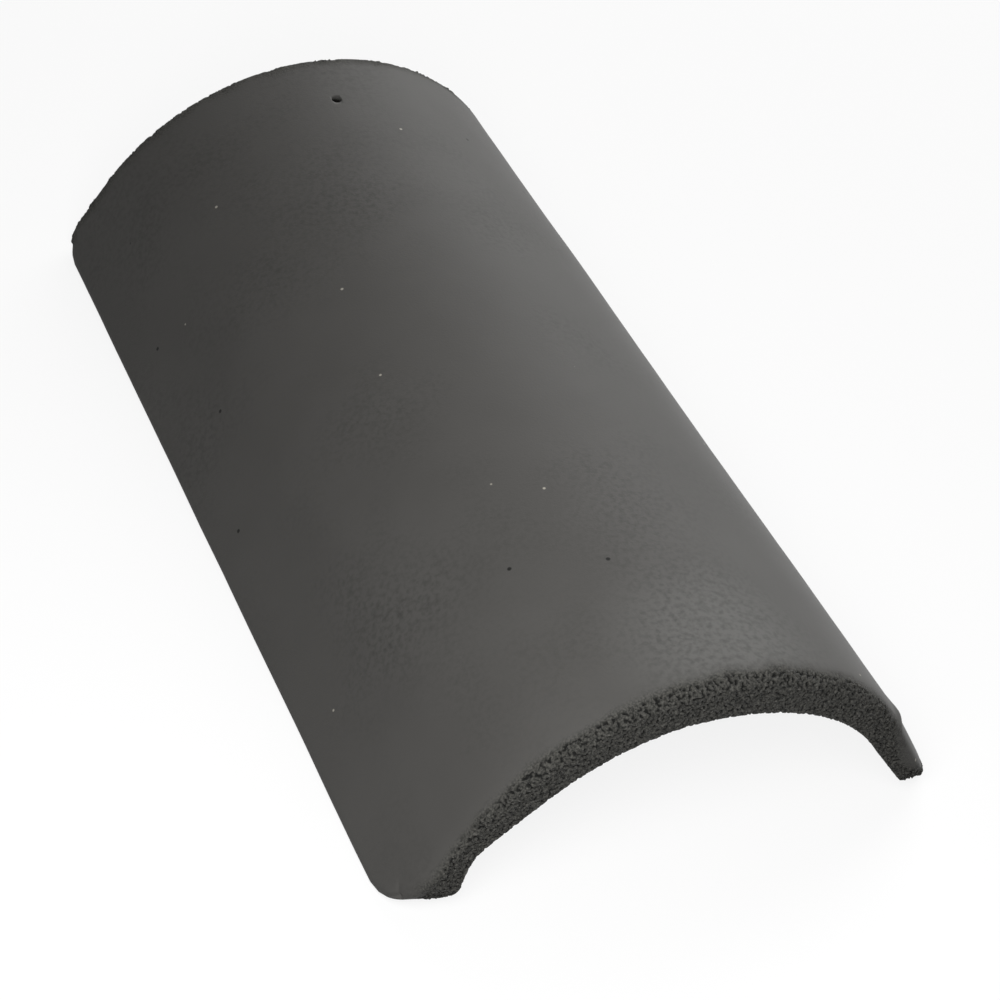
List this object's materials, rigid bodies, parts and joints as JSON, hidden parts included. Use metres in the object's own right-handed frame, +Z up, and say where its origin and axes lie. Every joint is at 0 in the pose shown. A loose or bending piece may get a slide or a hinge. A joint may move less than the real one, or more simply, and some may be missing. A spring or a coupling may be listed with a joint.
{
  "type": "ridge tile",
  "caption": "Tapered arched ridge tile of dark grey concrete, with a nail hole through the crown near its narrow end and two flat feet.",
  "frame": {"origin": "on the ground under the middle of the tile, at the bottom centre of its box", "axes": "+Y along the tile from the wide end to the narrow end with the nail hole, +Z up through the crown, +X across the feet"},
  "size_m": [0.2608, 0.45, 0.1052],
  "materials": {
    "concrete": "matte"
  },
  "bodies": {
    "root": {"ridge_tile": "concrete"}
  },
  "joints": []
}
